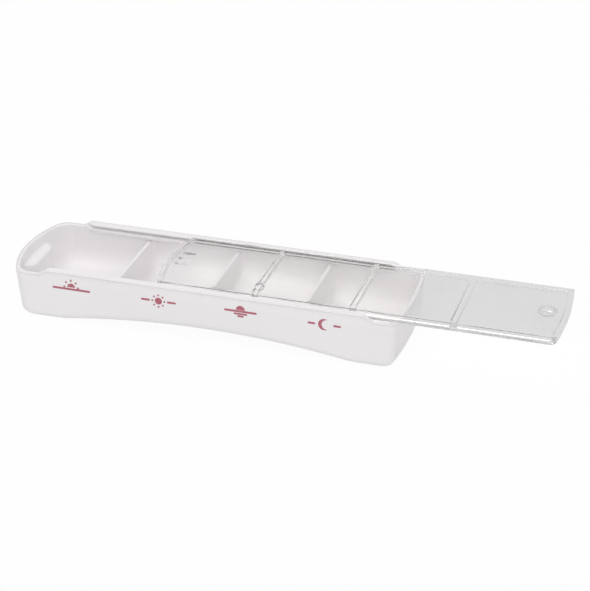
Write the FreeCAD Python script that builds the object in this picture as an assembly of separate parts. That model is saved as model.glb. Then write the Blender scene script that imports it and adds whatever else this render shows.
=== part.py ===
import FreeCAD, Part
import math
import os

# Daily pill organizer: a one-piece moulded tray with four compartments and a
# clear lid that slides along the tray. Millimetres, +X along the tray towards
# the end where the lid comes off, +Y to the back, +Z up. While it is drawn,
# x = 0 is the tray's left corner line and y = 0 the middle plane; place() then
# moves everything to the middle of the footprint, at the height of the feet.

# Tray, outside
tray_length = 140.0        # corner line to corner line, at the rim
tray_width = 43.4          # over the long sides, at the rim
rim_height = 17.6          # top of the low walls at both ends, and floor of the grooves
left_bulge = 5.6           # how far the left end curves out past its corners
right_bulge = 1.6          # the same at the right end
corner_radius = 2.6        # upright corners, seen from above
left_lean = 1.8            # how much the left end leans in towards the foot
right_lean = 1.8
base_round = 3.0           # rounding between the walls and the underside

# Tray, walls and compartments
wall = 1.6
floor_thickness = 1.6
compartments = 4
divider_thickness = 1.3
divider_top = 15.1
divider_draft = 0.35       # each face leans out by this much at the floor
divider_foot = 0.8         # chamfer where a divider meets the floor and walls
scoop_radius = 7.0         # inside rounding between the long walls and the floor
inside_radius = 1.6        # inside rounding along the two end walls

# Tray, arch between the two feet
arch_half_span = 57.0      # middle of the tray to where a foot's flat ends
arch_rise = 4.2
arch_blend = 50.0          # radius that runs each foot into the arch

# Tray, rails that hold the lid
rail_inset = 8.4           # corner line to the foot of a rail's ramp
ramp_length = 3.0
lip_depth = 1.55           # how far a lip stands in from the wall
lip_thickness = 0.8
shoulder_height = 1.0      # upright face under the groove
lead_in = 5.2              # length over which a rail's ends fade into the wall

# Tray, thumb recess in the left end, open downwards
thumb_depth = 5.2
thumb_width = 17.2
thumb_corner = 1.9         # its two upright corners, seen from above
thumb_top = 12.1
thumb_bevel = 0.5          # along the ledge that the recess makes inside

# Lid
lid_width_gap = 0.2        # lid plate to each lip
slide_gap = 0.15           # flange to the groove, above and below
flange_side_gap = 0.25
flange_thickness = 0.8
lid_rise = 0.55            # lid's top above the rails
lid_end_inset = 1.05       # closed lid's ends to the tray's ends
lid_left_bulge = 3.8
lid_right_bulge = 1.1
lid_corner = 1.4
lid_inner_corner = 0.4     # the same inside the frame, where it is smallest
lid_open = 54.15           # how far the lid is drawn out, as it stands
panel_thickness = 1.15
panel_recess = 0.3         # panels lie this far below the frame's top
frame_width = 1.7
rib_width = 2.3
panel_corner = 0.8

# Lid, small relief
gate_diameter = 6.5
gate_depth = 0.6
gate_wall = 0.6
gate_to_end = 6.0          # to the corner line of the lid's right end
pin_diameter = 3.2
pin_offset = -12.1         # from the middle plane, towards the front
pin_dimple = 0.3
grip_bars = 3
grip_length = 5.4
grip_width = 1.3
grip_corner = 0.58
grip_spacing = 4.2
grip_to_end = 4.2

# Sizes that follow from those above
half_width = tray_width / 2
inner_half = half_width - wall
left_radius = (half_width**2 + left_bulge**2) / (2 * left_bulge)
right_radius = (half_width**2 + right_bulge**2) / (2 * right_bulge)
tray_left = -left_bulge
tray_right = tray_length + right_bulge
arch_middle = tray_length / 2
arch_radius = (arch_half_span**2 + arch_rise**2) / (2 * arch_rise) - arch_blend
pitch = tray_length / compartments
groove_height = flange_thickness + 2 * slide_gap
rail_height = groove_height + lip_thickness
rail_top = rim_height + rail_height
groove_floor = rim_height
groove_roof = rail_top - lip_thickness
rail_depth = wall + lip_depth
rail_left = rail_inset
rail_right = tray_length - rail_inset

flange_bottom = groove_floor + slide_gap
lid_top = rail_top + lid_rise
plate_half = half_width - rail_depth - lid_width_gap
flange_half = half_width - wall - flange_side_gap
lid_left = tray_left + lid_end_inset + lid_open
lid_right = tray_right - lid_end_inset + lid_open
lid_left_radius = (plate_half**2 + lid_left_bulge**2) / (2 * lid_left_bulge)
lid_right_radius = (plate_half**2 + lid_right_bulge**2) / (2 * lid_right_bulge)
panel_top = lid_top - panel_recess
panel_bottom = panel_top - panel_thickness
lid_first = lid_left + lid_left_bulge
lid_last = lid_right - lid_right_bulge
lid_pitch = (lid_last - lid_first) / compartments

footprint_middle = (tray_left + lid_right) / 2
beyond = 10.0              # overshoot of cutting tools past the tray
above = rail_top + 1.0     # where the compartments' cutting tools end
snug = 0.001               # two heights or places closer than this are the same
sharp_cosine = 0.9         # faces whose normals agree better than this run on smoothly


def vec(x, y, z):
    return FreeCAD.Vector(x, y, z)


def bowed_end(apex, radius, half, corner, side):
    """Points of one bowed end, from its apex round to the straight side."""
    centre = apex - side * radius
    reach = math.sqrt((radius - corner) ** 2 - (half - corner) ** 2)
    pivot_x = centre + side * reach
    pivot_y = half - corner
    ux = (pivot_x - centre) / (radius - corner)
    uy = pivot_y / (radius - corner)
    arc_end = (centre + ux * radius, uy * radius)
    size = math.hypot(ux, uy + 1.0)
    bend = (pivot_x + corner * ux / size, pivot_y + corner * (uy + 1.0) / size)
    return (apex, 0.0), arc_end, bend, (pivot_x, half)


def outline(left, left_r, right, right_r, half, corner, z):
    """Closed wire with two straight sides, two bowed ends and round corners."""
    l_apex, l_arc, l_bend, l_side = bowed_end(left, left_r, half, corner, -1)
    r_apex, r_arc, r_bend, r_side = bowed_end(right, right_r, half, corner, 1)

    def up(p):
        return vec(p[0], p[1], z)

    def down(p):
        return vec(p[0], -p[1], z)

    edges = [
        Part.LineSegment(down(l_side), down(r_side)),
        Part.Arc(down(r_side), down(r_bend), down(r_arc)),
        Part.Arc(down(r_arc), up(r_apex), up(r_arc)),
        Part.Arc(up(r_arc), up(r_bend), up(r_side)),
        Part.LineSegment(up(r_side), up(l_side)),
        Part.Arc(up(l_side), up(l_bend), up(l_arc)),
        Part.Arc(up(l_arc), up(l_apex), down(l_arc)),
        Part.Arc(down(l_arc), down(l_bend), down(l_side)),
    ]
    return Part.Wire([edge.toShape() for edge in edges])


def prism_y(points, half):
    """Extrude a closed outline in the XZ plane to both sides of y = 0."""
    corners = [vec(x, -half, z) for x, z in points]
    face = Part.Face(Part.makePolygon(corners + [corners[0]]))
    return face.extrude(vec(0, 2 * half, 0))


def box(x0, x1, y0, y1, z0, z1):
    return Part.makeBox(x1 - x0, y1 - y0, z1 - z0, vec(x0, y0, z0))


def cylinder(radius, x, y, z0, z1):
    return Part.makeCylinder(radius, z1 - z0, vec(x, y, z0))


def below_arch(lift):
    """Everything under the arched underside, raised by lift."""
    radius = arch_radius + lift
    blend = arch_blend - lift
    centre = vec(arch_middle, 0, arch_rise - arch_radius)
    apex = vec(arch_middle, 0, arch_rise + lift)
    share = radius / (radius + blend)
    edges = []
    ends = []
    for side in (-1, 1):
        foot = vec(arch_middle + side * arch_half_span, 0, lift)
        blend_centre = vec(foot.x, 0, lift + blend)
        meet = centre + (blend_centre - centre) * share
        half_turn = math.atan2(foot.x - meet.x, blend_centre.z - meet.z) / 2
        bend = blend_centre + vec(-math.sin(half_turn), 0, -math.cos(half_turn)) * blend
        edges.append((foot, bend, meet))
        ends.append(vec(foot.x + side * arch_middle, 0, lift))
    left, right = edges
    low = -beyond
    path = [
        Part.LineSegment(ends[0], left[0]),
        Part.Arc(left[0], left[1], left[2]),
        Part.Arc(left[2], apex, right[2]),
        Part.Arc(right[2], right[1], right[0]),
        Part.LineSegment(right[0], ends[1]),
        Part.LineSegment(ends[1], vec(ends[1].x, 0, low)),
        Part.LineSegment(vec(ends[1].x, 0, low), vec(ends[0].x, 0, low)),
        Part.LineSegment(vec(ends[0].x, 0, low), ends[0]),
    ]
    wire = Part.Wire([edge.toShape() for edge in path])
    face = Part.Face(wire)
    face.translate(vec(0, -half_width - beyond, 0))
    return face.extrude(vec(0, tray_width + 2 * beyond, 0))


def is_sharp(shape, edge):
    """True where the two faces beside an edge meet at an angle."""
    middle = edge.valueAt((edge.FirstParameter + edge.LastParameter) / 2)
    normals = []
    for face in shape.ancestorsOfType(edge, Part.Face):
        u, v = face.Surface.parameter(middle)
        normals.append(face.normalAt(u, v))
    return len(normals) == 2 and abs(normals[0].dot(normals[1])) < sharp_cosine


def sharp_edges(shape, zmax):
    """Sharp edges that reach no higher than zmax and don't lie level at zmax."""
    found = [edge for edge in shape.Edges if edge.BoundBox.ZMax < zmax + snug]
    found = [edge for edge in found if edge.BoundBox.ZMin < zmax - snug]
    return [edge for edge in found if is_sharp(shape, edge)]


def end_column(side, inset, top):
    """Leaning round column whose skin is the face of one end wall."""
    apex, lean, radius = tray_left, left_lean, left_radius
    if side > 0:
        apex, lean, radius = tray_right, -right_lean, right_radius
    foot = vec(apex + lean - side * radius, 0, 0)
    ring = Part.Circle(foot, vec(0, 0, 1), radius - inset).toShape()
    return Part.Face(Part.Wire(ring)).extrude(vec(-lean / rim_height * top, 0, top))


def tray_blank():
    """Outside of the tray, arched underneath and rounded at the foot."""
    wide = half_width + beyond
    body = box(tray_left - beyond, tray_right + beyond, -half_width, half_width, 0.0, rail_top)
    for side in (-1, 1):
        if side < 0:
            off = box(tray_left - 2 * beyond, pitch, -wide, wide, 0.0, rail_top)
        else:
            off = box(tray_length - pitch, tray_right + 2 * beyond, -wide, wide, 0.0, rail_top)
        body = body.cut(off.cut(end_column(side, 0.0, rail_top)))
    uprights = [edge for edge in body.Edges if abs(edge.BoundBox.Center.y) > half_width - snug]
    uprights = [edge for edge in uprights if edge.BoundBox.ZLength > rim_height]
    body = body.makeFillet(corner_radius, uprights).cut(below_arch(0.0))
    return body.makeFillet(base_round, sharp_edges(body, arch_rise + 1.0))


def near_end(edge):
    """True for edges in the outer half of the first or last compartment."""
    middle = edge.BoundBox.Center.x
    return middle < pitch / 2 or middle > tray_length - pitch / 2


def scooped_trough():
    """Block between the two long walls, with its floor rounded into them."""
    block = box(tray_left - beyond, tray_right + beyond, -inner_half, inner_half, 0.0, above)
    block = block.cut(below_arch(floor_thickness))
    low = sharp_edges(block, floor_thickness + arch_rise + 1.0)
    along = [edge for edge in low if edge.BoundBox.YLength < inner_half]
    return block.makeFillet(scoop_radius, along)


def compartment(index, trough):
    """The hollow of one compartment, carried on upwards past the rails."""
    half = divider_thickness / 2
    foot = half + divider_draft
    head = half + divider_draft * (1.0 - above / divider_top)
    left = pitch * index
    right = pitch * (index + 1)
    if index == 0:
        left = tray_left - 2 * beyond
    if index == compartments - 1:
        right = tray_right + 2 * beyond
    section = [(left + foot, 0.0), (right - foot, 0.0), (right - head, above), (left + head, above)]
    hollow = trough.common(prism_y(section, half_width))
    if index == 0:
        hollow = hollow.common(end_column(-1, wall, above))
    if index == compartments - 1:
        hollow = hollow.common(end_column(1, wall, above))
    roots = [edge for edge in sharp_edges(hollow, above) if not near_end(edge)]
    hollow = hollow.makeChamfer(divider_foot, roots)
    ends = [edge for edge in sharp_edges(hollow, above) if near_end(edge)]
    if ends:
        hollow = hollow.makeFillet(inside_radius, ends)
    if index == 0:
        ledge = thumb_block(wall)
        rim = [edge for edge in ledge.Edges if edge.BoundBox.ZMin > thumb_top]
        rim = [edge for edge in rim if edge.BoundBox.XMax > tray_left]
        hollow = hollow.cut(ledge.makeChamfer(thumb_bevel, rim))
    return hollow


def thumb_block(extra):
    """Block with two round corners that hollows the left end, grown by extra."""
    deep = tray_left + thumb_depth + extra
    half = thumb_width / 2 + extra
    block = box(tray_left - beyond, deep, -half, half, -beyond, thumb_top + extra)
    corners = [edge for edge in block.Edges if edge.BoundBox.XMin > deep - snug]
    corners = [edge for edge in corners if edge.BoundBox.ZLength > thumb_top]
    return block.makeFillet(thumb_corner + extra, corners)


def rail(side):
    """One lip and groove, as a bar along the inside of a long wall."""
    outer = half_width - wall / 2
    face = half_width - wall
    edge = half_width - rail_depth
    section = [
        (outer, groove_floor - shoulder_height - lip_depth - wall / 2),
        (face, groove_floor - shoulder_height - lip_depth),
        (edge, groove_floor - shoulder_height),
        (edge, groove_floor),
        (face, groove_floor),
        (face, groove_roof),
        (edge, groove_roof),
        (edge, rail_top),
        (outer, rail_top),
    ]
    corners = [vec(rail_left, side * y, z) for y, z in section]
    bar = Part.Face(Part.makePolygon(corners + [corners[0]]))
    bar = bar.extrude(vec(rail_right - rail_left, 0, 0))
    for start, way in ((rail_left, 1), (rail_right, -1)):
        fade = [
            vec(start, side * face, 0.0),
            vec(start + way * lead_in, side * edge, 0.0),
            vec(start + way * lead_in, side * (edge - beyond), 0.0),
            vec(start - way * beyond, side * (edge - beyond), 0.0),
            vec(start - way * beyond, side * face, 0.0),
        ]
        wedge = Part.Face(Part.makePolygon(fade + [fade[0]])).extrude(vec(0, 0, rail_top + beyond))
        bar = bar.cut(wedge)
    return bar


def end_step(side):
    """What is cut off above the low wall at one end, with the rail's ramp."""
    if side < 0:
        foot = rail_left
        far = tray_left - beyond
    else:
        foot = rail_right
        far = tray_right + beyond
    head = foot - side * ramp_length
    step = [(far, rim_height), (foot, rim_height), (head, rail_top), (head, rail_top + beyond)]
    step.append((far, rail_top + beyond))
    return prism_y(step, half_width + beyond)


def make_tray():
    body = tray_blank().cut(thumb_block(0.0))
    trough = scooped_trough()
    for index in range(compartments):
        body = body.cut(compartment(index, trough))
    reach = divider_thickness / 2 + divider_draft + divider_foot
    for index in range(1, compartments):
        middle = pitch * index
        over = box(middle - reach, middle + reach, -inner_half, inner_half, divider_top, above)
        body = body.cut(over)

    for side in (-1, 1):
        body = body.fuse(rail(side))
    for side in (-1, 1):
        body = body.cut(end_step(side))
    return body.removeSplitter()


def lid_outline(inset, z):
    return outline(
        lid_left + inset,
        lid_left_radius - inset,
        lid_right - inset,
        lid_right_radius - inset,
        plate_half - inset,
        max(lid_corner - inset, lid_inner_corner),
        z,
    )


def extruded(wire, height):
    return Part.Face(wire).extrude(vec(0, 0, height))


def rib_x(index):
    return lid_first + lid_pitch * index


def panel_cut(index, z0, z1):
    """The hollow over or under one panel, inside the lid's frame and ribs."""
    inner = extruded(lid_outline(frame_width, z0), z1 - z0)
    half = rib_width / 2
    left = lid_left - beyond if index == 0 else rib_x(index) + half
    right = lid_right + beyond if index == compartments - 1 else rib_x(index + 1) - half
    hollow = inner.common(box(left, right, -half_width, half_width, z0, z1))
    uprights = [
        edge
        for edge in hollow.Edges
        if edge.BoundBox.ZLength > (z1 - z0) / 2
        and min(abs(edge.BoundBox.Center.x - left), abs(edge.BoundBox.Center.x - right)) < snug
    ]
    return hollow.makeFillet(panel_corner, uprights)


def make_lid():
    flange_top = flange_bottom + flange_thickness
    body = box(lid_first, lid_last, -flange_half, flange_half, flange_bottom, flange_top)
    uprights = [edge for edge in body.Edges if edge.BoundBox.ZLength > snug]
    body = body.makeFillet(lid_corner, uprights)
    body = body.fuse(extruded(lid_outline(0.0, flange_bottom), lid_top - flange_bottom))
    for index in range(compartments):
        body = body.cut(panel_cut(index, panel_top, lid_top + beyond))
        body = body.cut(panel_cut(index, flange_bottom - beyond, panel_bottom))

    gate_x = lid_last - gate_to_end
    gate_floor = panel_top - gate_depth
    boss = cylinder(gate_diameter / 2 + gate_wall, gate_x, 0.0, flange_bottom, panel_bottom)
    body = body.fuse(boss)
    body = body.cut(cylinder(gate_diameter / 2, gate_x, 0.0, gate_floor, lid_top + beyond))
    body = body.fuse(cylinder(gate_wall, gate_x, 0.0, gate_floor, gate_floor + gate_depth / 2))

    pin_x = rib_x(1)
    body = body.fuse(cylinder(pin_diameter / 2, pin_x, pin_offset, flange_bottom, lid_top))
    dimple = pin_diameter / 2 - pin_dimple
    body = body.cut(cylinder(dimple, pin_x, pin_offset, lid_top - pin_dimple, lid_top + beyond))

    grip_x = lid_first + grip_to_end
    for index in range(grip_bars):
        y = (index - (grip_bars - 1) / 2) * grip_spacing
        bar = box(
            grip_x - grip_length / 2, grip_x + grip_length / 2,
            y - grip_width / 2, y + grip_width / 2, panel_top - panel_recess, lid_top,
        )
        uprights = [edge for edge in bar.Edges if edge.BoundBox.ZLength > panel_recess]
        body = body.fuse(bar.makeFillet(grip_corner, uprights))
    return body.removeSplitter()


def place(shape):
    shape.translate(vec(-footprint_middle, 0, 0))
    return shape


def main():
    os.makedirs("parts", exist_ok=True)
    for name, shape in (("tray", make_tray()), ("lid", make_lid())):
        solid = place(shape)
        solid.exportStep("parts/" + name + ".step")
        size = solid.BoundBox
        print(
            name, "solids", len(solid.Solids), "valid", solid.isValid(),
            "volume %.0f" % solid.Volume,
            "box %.2f..%.2f %.2f..%.2f %.2f..%.2f"
            % (size.XMin, size.XMax, size.YMin, size.YMax, size.ZMin, size.ZMax),
        )


main()
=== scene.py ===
import math
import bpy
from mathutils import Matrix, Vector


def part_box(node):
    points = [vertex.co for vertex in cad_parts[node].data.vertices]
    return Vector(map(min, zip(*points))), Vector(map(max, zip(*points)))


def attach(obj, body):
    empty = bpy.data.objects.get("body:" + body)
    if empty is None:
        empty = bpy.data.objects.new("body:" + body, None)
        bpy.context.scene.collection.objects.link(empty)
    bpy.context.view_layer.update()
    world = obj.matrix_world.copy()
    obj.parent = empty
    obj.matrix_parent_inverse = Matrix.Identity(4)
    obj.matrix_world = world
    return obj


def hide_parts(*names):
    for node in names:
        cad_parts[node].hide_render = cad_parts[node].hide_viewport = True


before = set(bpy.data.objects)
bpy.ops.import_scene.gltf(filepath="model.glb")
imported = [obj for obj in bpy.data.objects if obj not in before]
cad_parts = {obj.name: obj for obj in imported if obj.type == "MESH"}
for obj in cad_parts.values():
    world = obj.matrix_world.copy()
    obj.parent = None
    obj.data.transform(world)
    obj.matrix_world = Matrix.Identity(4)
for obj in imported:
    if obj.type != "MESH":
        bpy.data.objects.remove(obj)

from types import SimpleNamespace

import bmesh
import bpy
import numpy as np
from bpy.props import FloatProperty, FloatVectorProperty, PointerProperty
from mathutils import Vector

bl_info = {
    "name": "Daily pill organizer",
    "version": (1, 0, 0),
    "blender": (4, 5, 0),
    "location": "3D View > Sidebar > Pill Organizer",
    "description": "Builds a tray with four compartments and its clear sliding lid",
    "category": "Add Mesh",
}

# The CAD boxes of the two mouldings, read before anything is built
TRAY_LOW, TRAY_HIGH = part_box("tray")
LID_LOW, LID_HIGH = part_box("lid")
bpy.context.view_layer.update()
QUARTER = math.pi / 2
STEEP = 12.0       # slope of the thumb recess's sides, seen from above
CREASE = 0.5       # width in mm of the bend between an end wall and the thumb recess
LIP_START = 0.82   # share of a ramp's length after which its lip begins
LEVELS = 3         # steps in the small rounding of an edge
CURVE_POINTS = 40  # points on a printed curve
CAMERA_PLACE = (0.17325, -0.5559, 0.3175)


def length(name, description, default):
    """A size in metres, shown with its unit."""
    return FloatProperty(
        name=name, description=description, default=default, unit="LENGTH", precision=5
    )


def paint(name, description, default):
    return FloatVectorProperty(
        name=name, description=description, default=default, subtype="COLOR", min=0.0, max=1.0
    )


def share(name, description, default):
    return FloatProperty(
        name=name, description=description, default=default, min=0.0, subtype="FACTOR"
    )


def power(name, description, default):
    return FloatProperty(name=name, description=description, default=default, unit="POWER")


def angle(name, description, degrees):
    """An angle kept in radians and shown in degrees."""
    return FloatProperty(
        name=name, description=description, default=math.radians(degrees), subtype="ANGLE"
    )


class TraySizes(bpy.types.PropertyGroup):
    """Sizes of the white tray."""

    left_bulge: length("Left bulge", "How far the left end curves out", 0.0056)
    right_bulge: length("Right bulge", "How far the right end curves out", 0.0016)
    lean: length("Lean", "How far both ends lean in at the foot", 0.0018)
    corner: length("Corner", "Setback of the upright outer corners", 0.0026)
    base_round: length("Base round", "Rounding between walls and underside", 0.003)
    wall: length("Wall", "Thickness of the outer walls", 0.0016)
    floor_thickness: length("Floor", "Thickness of the floor", 0.0016)
    divider_thickness: length("Divider", "Thickness of a divider at its top", 0.0013)
    divider_top: length("Divider top", "Height of the dividers", 0.0151)
    divider_draft: length("Divider draft", "Lean of each divider face", 0.00035)
    divider_fillet: length("Divider fillet", "Radius at a divider's foot", 0.0013)
    scoop: length("Scoop", "Radius between long walls and floor", 0.007)
    end_fillet: length("End fillet", "Radius along the end walls", 0.0035)
    arch_half_span: length("Arch half span", "Middle to the end of the arch", 0.057)
    arch_rise: length("Arch rise", "Height of the arch underneath", 0.0042)
    arch_blend: length("Arch blend", "Radius between a foot and the arch", 0.05)
    rim: length("Rim", "Height of the low walls at both ends", 0.0176)
    rail_start: length("Rail start", "Corner line to the foot of a ramp", 0.0084)
    ramp: length("Ramp", "Length of a rail's ramp", 0.003)
    lip_depth: length("Lip depth", "How far a lip stands in", 0.00155)
    lip_thickness: length("Lip thickness", "Thickness of a lip", 0.0008)
    shoulder: length("Shoulder", "Upright face under the groove", 0.001)
    lead_in: length("Lead-in", "Length over which a rail fades", 0.0052)
    thumb_depth: length("Thumb depth", "Depth of the thumb recess", 0.0052)
    thumb_width: length("Thumb width", "Width of the thumb recess", 0.0172)
    thumb_corner: length("Thumb corner", "Plan radius of the recess's corners", 0.003)
    thumb_top: length("Thumb top", "Height of the thumb recess", 0.0121)
    ledge_round: length("Ledge round", "Rounding of the ledge over the recess", 0.0011)
    edge_round: length("Edge round", "Rounding of the dividers' tops", 0.0003)
    rim_inside: length("Rim inside", "Rounding of the rim's inner edge", 0.0005)
    rim_outside: length("Rim outside", "Rounding of the rim's outer edge", 0.0004)


class LidSizes(bpy.types.PropertyGroup):
    """Sizes of the clear lid."""

    left_bulge: length("Left bulge", "How far the left end curves out", 0.003)
    right_bulge: length("Right bulge", "How far the right end curves out", 0.0011)
    corner: length("Corner", "Setback of the corners", 0.0022)
    flange_width: length("Flange width", "Flange beside the plate", 0.0015)
    flange_thickness: length("Flange thickness", "Thickness of the flange", 0.0008)
    frame_width: length("Frame width", "Width of the raised frame", 0.0017)
    rib_width: length("Rib width", "Width of a cross rib", 0.0015)
    recess: length("Recess", "Panels below the frame's top", 0.0003)
    panel: length("Panel", "Thickness of a panel", 0.00115)
    panel_corner: length("Panel corner", "Radius of a panel's corners", 0.0008)
    step: length("Step", "Width of a moulded step", 0.00055)
    edge: length("Edge", "Rounding of the outer edges", 0.00035)
    gate_radius: length("Gate radius", "Radius of the gate well", 0.0028)
    gate_wall: length("Gate wall", "Wall round the gate well", 0.00055)
    gate_rise: length("Gate rise", "Ring round the gate well above the frame", 0.0001)
    gate_depth: length("Gate depth", "Depth of the gate well", 0.0019)
    gate_to_end: length("Gate to end", "Gate well to the right corner line", 0.0064)
    gate_offset: length("Gate offset", "Gate well to the middle line", 0.001)
    pin_radius: length("Pin radius", "Radius of the pin mark on the first rib", 0.0017)
    pin_depth: length("Pin depth", "Depth of the pin mark", 0.0005)
    pin_offset: length("Pin offset", "Pin mark to the middle line", -0.0108)
    grip_length: length("Grip length", "Length of a grip groove", 0.005)
    grip_width: length("Grip width", "Width of a grip groove", 0.0016)
    grip_depth: length("Grip depth", "Depth of a grip groove", 0.0009)
    grip_spacing: length("Grip spacing", "From one grip groove to the next", 0.0043)
    grip_to_end: length("Grip to end", "Left corner line to the grooves' middle", 0.0032)
    grip_offset: length("Grip offset", "Middle grip groove to the middle line", 0.0012)


class MarkSizes(bpy.types.PropertyGroup):
    """Sizes of the four printed time-of-day signs."""

    width: length("Width", "Width of a sign with its side strokes", 0.0138)
    stroke: length("Stroke", "Width of a printed stroke", 0.00078)
    disc: length("Disc", "Radius of the sun", 0.0015)
    ink: length("Ink", "Thickness of the print", 0.00004)


class Finishes(bpy.types.PropertyGroup):
    """Colours and gloss of the three finishes."""

    white: paint("White plastic", "Colour of the tray", (0.925, 0.906, 0.912))
    white_rough: share("White roughness", "Roughness of the tray", 0.36)
    clear: paint("Clear plastic", "Tint of the lid", (0.928, 0.934, 0.931))
    clear_rough: share("Clear roughness", "Roughness of the lid", 0.12)
    haze: share("Haze", "Share of light that the lid scatters", 0.0)
    rose: paint("Rose print", "Colour of the signs", (0.50, 0.14, 0.185))


class StageSizes(bpy.types.PropertyGroup):
    """Floor and light."""

    floor: paint("Floor", "Colour of the floor", (0.90, 0.90, 0.90))
    warm: paint("Warm", "Colour of the two lamps", (1.0, 0.968, 0.96))
    cool: paint("Cool", "Colour of the light from all sides", (0.975, 0.99, 1.0))
    sky: share("Sky", "Strength of the light from all sides", 0.635)
    blaze: share("Blaze", "How far the floor is lifted to white where it is seen", 0.955)
    through: share("Through", "Backdrop's strength in gloss and through the lid", 0.765)
    top: power("Top", "Power of the light overhead", 7.8)
    fill: power("Fill", "Power of the light from the right", 5.1)
    lens: FloatProperty(name="Lens", description="Focal length", default=112.81, unit="CAMERA")
    turn: angle("Turn", "Camera azimuth", 17.031)
    tilt: angle("Tilt", "Camera elevation", 27.733)


def millimetres(group):
    """The lengths of a property group as plain numbers in millimetres."""
    return SimpleNamespace(**{key: getattr(group, key) * 1000 for key in group.__annotations__})


def bow_radius(half, rise):
    """Radius of an arc over a chord of 2 half that rises by rise: (half^2 + rise^2) / (2 rise)."""
    return (half**2 + rise**2) / (2 * rise)


def tray_sizes(scene):
    """Tray sizes in mm with those that follow. x runs from the left corner line."""
    t = millimetres(scene.tray_sizes)
    t.half = TRAY_HIGH.y * 1000
    t.shift = TRAY_LOW.x * 1000 + t.left_bulge
    t.length = (TRAY_HIGH.x - TRAY_LOW.x) * 1000 - t.left_bulge - t.right_bulge
    t.rail_top = TRAY_HIGH.z * 1000
    t.inner = t.half - t.wall
    t.left_radius = bow_radius(t.half, t.left_bulge)
    t.right_radius = bow_radius(t.half, t.right_bulge)
    t.middle = t.length / 2
    t.arch_radius = bow_radius(t.arch_half_span, t.arch_rise) - t.arch_blend
    t.pitch = t.length / 4
    t.seam = t.rim - t.shoulder - t.lip_depth
    t.base = t.divider_top - t.edge_round
    return t


def new_piece(name, points, faces, body, material, replaced=None):
    """Mesh object from points in mm and faces, welded, turned outwards and smooth."""
    mesh = bpy.data.meshes.new(name)
    mesh.from_pydata((points * 0.001).tolist(), [], faces.tolist())
    work = bmesh.new()
    work.from_mesh(mesh)
    bmesh.ops.remove_doubles(work, verts=work.verts, dist=2e-6)
    bmesh.ops.dissolve_degenerate(work, dist=1e-7, edges=work.edges)
    bmesh.ops.recalc_face_normals(work, faces=work.faces)
    work.to_mesh(mesh)
    work.free()
    mesh.polygons.foreach_set("use_smooth", [True] * len(mesh.polygons))
    piece = bpy.data.objects.new(name, mesh)
    bpy.context.scene.collection.objects.link(piece)
    mesh.materials.append(material)
    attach(piece, body)
    if replaced:
        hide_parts(replaced)
    return piece


def weigh_normals(piece):
    """Keeps flat faces flat beside their small rounded edges."""
    weigh = piece.modifiers.new("FlatFaces", "WEIGHTED_NORMAL")
    weigh.mode = "FACE_AREA"
    weigh.weight = 50
    weigh.keep_sharp = False


def grid_faces(rows, columns, start=0, wrap=False):
    """Quads of a grid of points stored row by row. wrap joins the last column to the first."""
    r = np.arange(rows - 1)[:, None]
    c = np.arange(columns if wrap else columns - 1)[None, :]
    d = (c + 1) % columns
    near, far = start + r * columns, start + (r + 1) * columns
    return np.stack([near + c, near + d, far + d, far + c], -1).reshape(-1, 4)


def joined(parts):
    """Points and faces of several grids as one set."""
    points, faces, start = [], [], 0
    for xyz, wrap in parts:
        rows, columns = xyz.shape[:2]
        points.append(xyz.reshape(-1, 3))
        faces.append(grid_faces(rows, columns, start, wrap))
        start += rows * columns
    return np.concatenate(points), np.concatenate(faces)


def arch_height(t, x, lift):
    """Height of the underside raised by lift: flat foot, concave blend arc, one wide arc."""
    away = np.abs(x - t.middle)
    big = t.arch_radius + lift
    small = t.arch_blend - lift
    meet = t.arch_half_span * big / (big + small)
    wide = t.arch_rise - t.arch_radius + np.sqrt(big**2 - np.minimum(away, meet) ** 2)
    inside = t.arch_half_span - np.clip(away, meet, t.arch_half_span)
    blend = lift + small - np.sqrt(small**2 - inside**2)
    return np.where(away < meet, wide, np.where(away < t.arch_half_span, blend, lift))


def smooth_max(a, b, k):
    """The larger of two surfaces, with a crease of width k rounded off."""
    return 0.5 * (a + b + np.sqrt((a - b) ** 2 + k * k))


def bow(t, side, y, z, inset):
    """x of an end wall: a leaning round column, drawn in by inset."""
    lean = t.lean * (1.0 - np.minimum(z, t.rim) / t.rim)
    if side < 0:
        return lean - t.left_bulge + t.left_radius - np.sqrt((t.left_radius - inset) ** 2 - y**2)
    return (
        t.length + t.right_bulge - lean - t.right_radius
        + np.sqrt((t.right_radius - inset) ** 2 - y**2)
    )


def thumb_block(t, y, extra):
    """x of the upright block that hollows the left end, grown by extra.

    Its back is flat, its corners are quarter circles and its sides fall away steeply."""
    corner = t.thumb_corner + extra
    past = np.abs(y) - (t.thumb_width / 2 + extra - corner)
    round_part = corner - np.sqrt(corner**2 - np.clip(past, 0, corner) ** 2)
    return t.thumb_depth - t.left_bulge + extra - round_part - STEEP * np.maximum(past - corner, 0)


def section_rows(t):
    """Half a cross-section of the hollow, from the wall's top to the middle, as row parameters."""
    wall_rows, scoop_rows, floor_rows, usual_floor = 5, 13, 13, 3.0
    wall = np.linspace(0, 1, wall_rows, endpoint=False)
    scoop = np.linspace(0, QUARTER, scoop_rows)
    floor = np.linspace(0, 1, floor_rows + 1)[1:]
    down = np.concatenate([wall, np.ones(scoop_rows + floor_rows)])
    turn = np.concatenate([np.zeros(wall_rows), scoop, np.full(floor_rows, QUARTER)])
    across = np.concatenate([np.zeros(wall_rows + scoop_rows), floor])
    rows = SimpleNamespace(down=down[:, None], turn=turn[:, None], across=across[:, None])
    y, z = section(t, rows, np.array([[usual_floor]]))
    steps = np.hypot(np.diff(y[:, 0]), np.diff(z[:, 0]))
    rows.along = np.concatenate([[0.0], np.cumsum(steps)])[:, None] / steps.sum()
    return rows


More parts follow.
